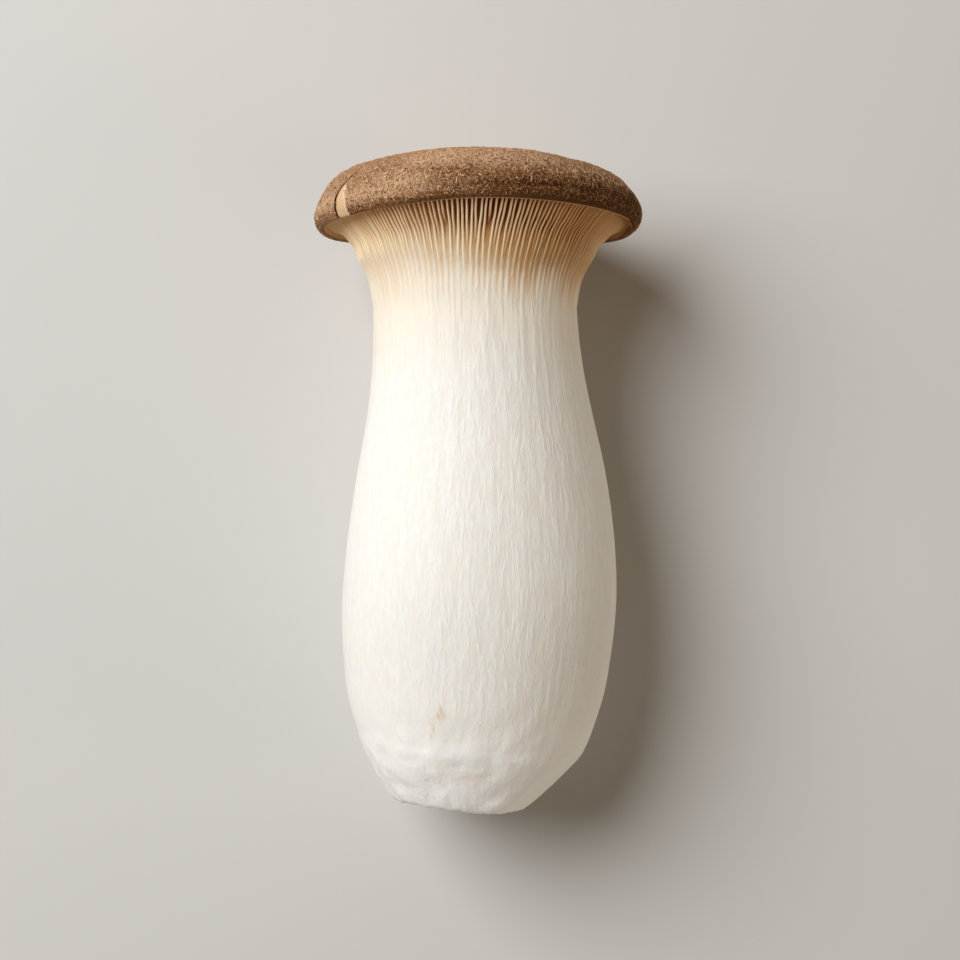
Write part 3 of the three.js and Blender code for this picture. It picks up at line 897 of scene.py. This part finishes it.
# partly the skin's own tone, partly painted light and sheen towards the lamp
light_share = sum_of(tree, (mark_value(tree, "light"), 1.0), (patches, 0.4), (fuzz, 0.3))
colour = blended(tree, eased(tree, light_share, 0.35, 1.35), colour, CAP_LIGHT)
colour = blended(tree, sum_of(tree, (mark_value(tree, "lobe"), 0.15)), colour, CAP_LIGHT)
# painted shade in the crease
colour = blended(tree, sum_of(tree, (mark_value(tree, "crease"), 0.75)), colour, CAP_DARK)
# painted shade on the right of the margin
colour = blended(tree, sum_of(tree, (mark_value(tree, "dusk"), 0.85)), colour, CAP_DUSKY)
colour = blended(tree, mark_value(tree, "split"), colour, SPLIT_FLESH)
# pale torn rim, partly painted highlight
colour = blended(tree, mark_value(tree, "rim"), colour, SPLIT_RIM)
# painted shade in the split
colour = blended(tree, mark_value(tree, "deep"), colour, SPLIT_DEEP)
colour = blended(tree, eased(tree, way_in, 0.1, 0.42), CAP_LIP, colour)
colour = blended(tree, eased(tree, way_in, -0.9, -0.5), CAP_INSIDE, colour)
finish_material(tree, fuzz, 0.16, {
    "Base Color": colour,
    "Roughness": 0.8,
    "Specular IOR Level": 0.08,
})
cap.data.materials.append(cap_skin)

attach(cap, "root")

# ---- Nap ----------------------------------------------------------------------------------
# Short curled fibres that lie on the cap's skin, where its outer layer broke up as the cap
# spread: a dense layer of pale ones over a layer of darker, shorter ones.
NAP_LAYERS = [  # name, hairs to a square millimetre, length, half thickness, darkest, lightest, seed
    ("cap_nap", 5.0, 0.65, 0.062, 0.4, 1.0, 41),
    ("cap_fuzz", 4.9, 0.55, 0.055, 0.0, 0.4, 42),
]
LENGTH_SHARES = (0.6, 1.25)
HAIR_BEND = (0.5, 0.17, 0.28)  # of a hair that is 1 long
HAIR_TIP = (1, 0, 0.06)
HAIR_TAPER = 0.6
MEAN_TONE = 0.55  # hairs on smooth skin come nearer to this tone
EVENING = 0.7
# painted shade: hairs on the right of the margin are darker
DUSK_DARKENING = 0.5
HAIR_DARK = (0.10, 0.033, 0.008, 1)
HAIR_BROWN = (0.50, 0.27, 0.125, 1)
HAIR_LIGHT = (1.0, 0.72, 0.48, 1)

nap_hair, tree = new_material("nap_hair")
tone = mark_value(tree, "tone")
colour = blended(tree, eased(tree, tone, 0.0, 0.55), HAIR_DARK, HAIR_BROWN)
colour = blended(tree, eased(tree, tone, 0.45, 1.0), colour, HAIR_LIGHT)
finish_material(tree, fibre_noise(tree, 4.0), 0.02, {
    "Base Color": colour,
    "Roughness": 0.7,
    "Specular IOR Level": 0.1,
})


def chance_value(tree, low, high, seed):
    """A random number for each point, from low to high."""
    node = add_node(tree, "FunctionNodeRandomValue", {2: low, 3: high, "Seed": seed}, data_type="FLOAT")
    return node.outputs[1]


tree, given, result = new_growth(
    "hairs_on_skin", Hairs_to_Area="Float", Length="Float", Half_Thickness="Float", Darkest="Float",
    Lightest="Float", Seed="Int", Material="Material")
density = maths(tree, "MULTIPLY", given["Hairs to Area"], marked(tree, "nap"))
spots = {"Mesh": given["Geometry"], "Density": density, "Seed": given["Seed"]}
spots = add_node(tree, "GeometryNodeDistributePointsOnFaces", spots)
hair_line = {"Start": (0, 0, 0), "Middle": HAIR_BEND, "End": HAIR_TIP, "Resolution": 2}
hair_line = add_node(tree, "GeometryNodeCurveQuadraticBezier", hair_line)
along = add_node(tree, "GeometryNodeSplineParameter").outputs["Factor"]
taper = maths(tree, "MULTIPLY_ADD", maths(tree, "POWER", along, 2.0), -HAIR_TAPER, 1.0)
taper = maths(tree, "MULTIPLY", taper, maths(tree, "DIVIDE", given["Half Thickness"], given["Length"]))
ring = add_node(tree, "GeometryNodeCurvePrimitiveCircle", {"Resolution": 3, "Radius": 1.0})
hair = {"Curve": hair_line.outputs[0], "Profile Curve": ring.outputs[0], "Scale": taper, "Fill Caps": True}
hair = add_node(tree, "GeometryNodeCurveToMesh", hair)
spin = {"Axis": (0, 0, 1), "Angle": chance_value(tree, 0.0, 2 * np.pi, 1)}
spin = add_node(tree, "FunctionNodeAxisAngleToRotation", spin)
turned = {"Rotation": spots.outputs["Rotation"], "Rotate By": spin.outputs[0]}
turned = add_node(tree, "FunctionNodeRotateRotation", turned, rotation_space="LOCAL")
size = maths(tree, "MULTIPLY", chance_value(tree, *LENGTH_SHARES, 2), given["Length"])
tone = maths(tree, "SUBTRACT", given["Lightest"], given["Darkest"])
tone = maths(tree, "MULTIPLY_ADD", chance_value(tree, 0.0, 1.0, 3), tone, given["Darkest"])
# painted shade darkens the hairs on the right of the margin
tone = maths(tree, "MULTIPLY", tone, maths(tree, "MULTIPLY_ADD", marked(tree, "dusk"), -DUSK_DARKENING, 1.0))
to_mean = maths(tree, "MULTIPLY", maths(tree, "SUBTRACT", MEAN_TONE, tone), marked(tree, "smooth"))
tone = maths(tree, "MULTIPLY_ADD", to_mean, EVENING, tone)
toned = {"Geometry": spots.outputs[0], "Name": "tone", "Value": tone}
toned = add_node(tree, "GeometryNodeStoreNamedAttribute", toned, data_type="FLOAT")
hairs = {"Points": toned.outputs[0], "Instance": hair.outputs[0]}
hairs.update({"Rotation": turned.outputs[0], "Scale": size})
hairs = add_node(tree, "GeometryNodeInstanceOnPoints", hairs)
hairs = add_node(tree, "GeometryNodeRealizeInstances", {"Geometry": hairs.outputs[0]})
hairs = add_node(tree, "GeometryNodeSetShadeSmooth", {"Geometry": hairs.outputs[0]})
hairs = {"Geometry": hairs.outputs[0], "Material": given["Material"]}
hairs = add_node(tree, "GeometryNodeSetMaterial", hairs)
tree.links.new(hairs.outputs[0], result.inputs[0])

for name, to_area, length, half_thickness, darkest, lightest, seed in NAP_LAYERS:
    layer = bpy.data.objects.new(name, cap.data.copy())
    bpy.context.scene.collection.objects.link(layer)
    grow(layer, tree, Hairs_to_Area=to_area / MM**2, Length=length * MM, Half_Thickness=half_thickness * MM,
         Darkest=darkest, Lightest=lightest, Seed=seed, Material=nap_hair)
    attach(layer, "root")

# ---- Floor, light and camera -----------------------------------------------------------------
# A plain pale floor under a large soft lamp at the upper left and two weak ones that fill the
# shade from the lower right and the lower left, with the camera straight above.
FLOOR_HALF = 1.5
FLOOR_COLOUR = (0.63, 0.62, 0.605, 1)
LAMP_AIM = Vector((0.0, 0.0, 0.03))
LAMP_AWAY = 1.0
LAMPS = [  # name, way to it, size, power, colour
    ("main_lamp", (-0.548, 0.384, 0.743), 0.78, 11.95, (1.0, 1.0, 1.0)),
    ("right_fill", (0.93, -0.25, 0.15), 0.34, 2.25, (1.0, 0.88, 0.72)),
    ("left_fill", (-0.45, -0.85, 0.18), 0.38, 0.7, (0.93, 0.97, 1.0)),
]
ROOM_LIGHT = (1.0, 0.77, 0.50, 1)
ROOM_STRENGTH = 0.115
CAMERA_PLACE = (0.41 * MM, 1.31 * MM, 573.67 * MM)
CAMERA_LENS = 100.0
CAMERA_SENSOR = 36.0

floor_mesh = bpy.data.meshes.new("floor")
corners = [(-FLOOR_HALF, -FLOOR_HALF, 0), (FLOOR_HALF, -FLOOR_HALF, 0), (FLOOR_HALF, FLOOR_HALF, 0),
           (-FLOOR_HALF, FLOOR_HALF, 0)]
floor_mesh.from_pydata(corners, [], [(0, 1, 2, 3)])
floor = bpy.data.objects.new("floor", floor_mesh)
bpy.context.scene.collection.objects.link(floor)
floor_finish, tree = new_material("floor")
finish_material(tree, fibre_noise(tree, 0.2), 0.02, {"Base Color": FLOOR_COLOUR, "Roughness": 0.8})
floor_mesh.materials.append(floor_finish)

for name, towards, size, power, colour in LAMPS:
    towards = Vector(towards).normalized()
    lamp_data = bpy.data.lights.new(name, "AREA")
    lamp_data.shape = "DISK"
    lamp_data.size = size
    lamp_data.energy = power
    lamp_data.color = colour
    lamp = bpy.data.objects.new(name, lamp_data)
    lamp.location = LAMP_AIM + towards * LAMP_AWAY
    lamp.rotation_euler = towards.to_track_quat("Z", "Y").to_euler()
    bpy.context.scene.collection.objects.link(lamp)

room = bpy.data.worlds.new("room")
room.use_nodes = True
room.node_tree.nodes["Background"].inputs["Color"].default_value = ROOM_LIGHT
room.node_tree.nodes["Background"].inputs["Strength"].default_value = ROOM_STRENGTH
bpy.context.scene.world = room
bpy.context.scene.view_settings.view_transform = "Standard"

camera_data = bpy.data.cameras.new("camera")
camera_data.lens = CAMERA_LENS
camera_data.sensor_width = CAMERA_SENSOR
camera = bpy.data.objects.new("camera", camera_data)
camera.location = CAMERA_PLACE
bpy.context.scene.collection.objects.link(camera)
bpy.context.scene.camera = camera
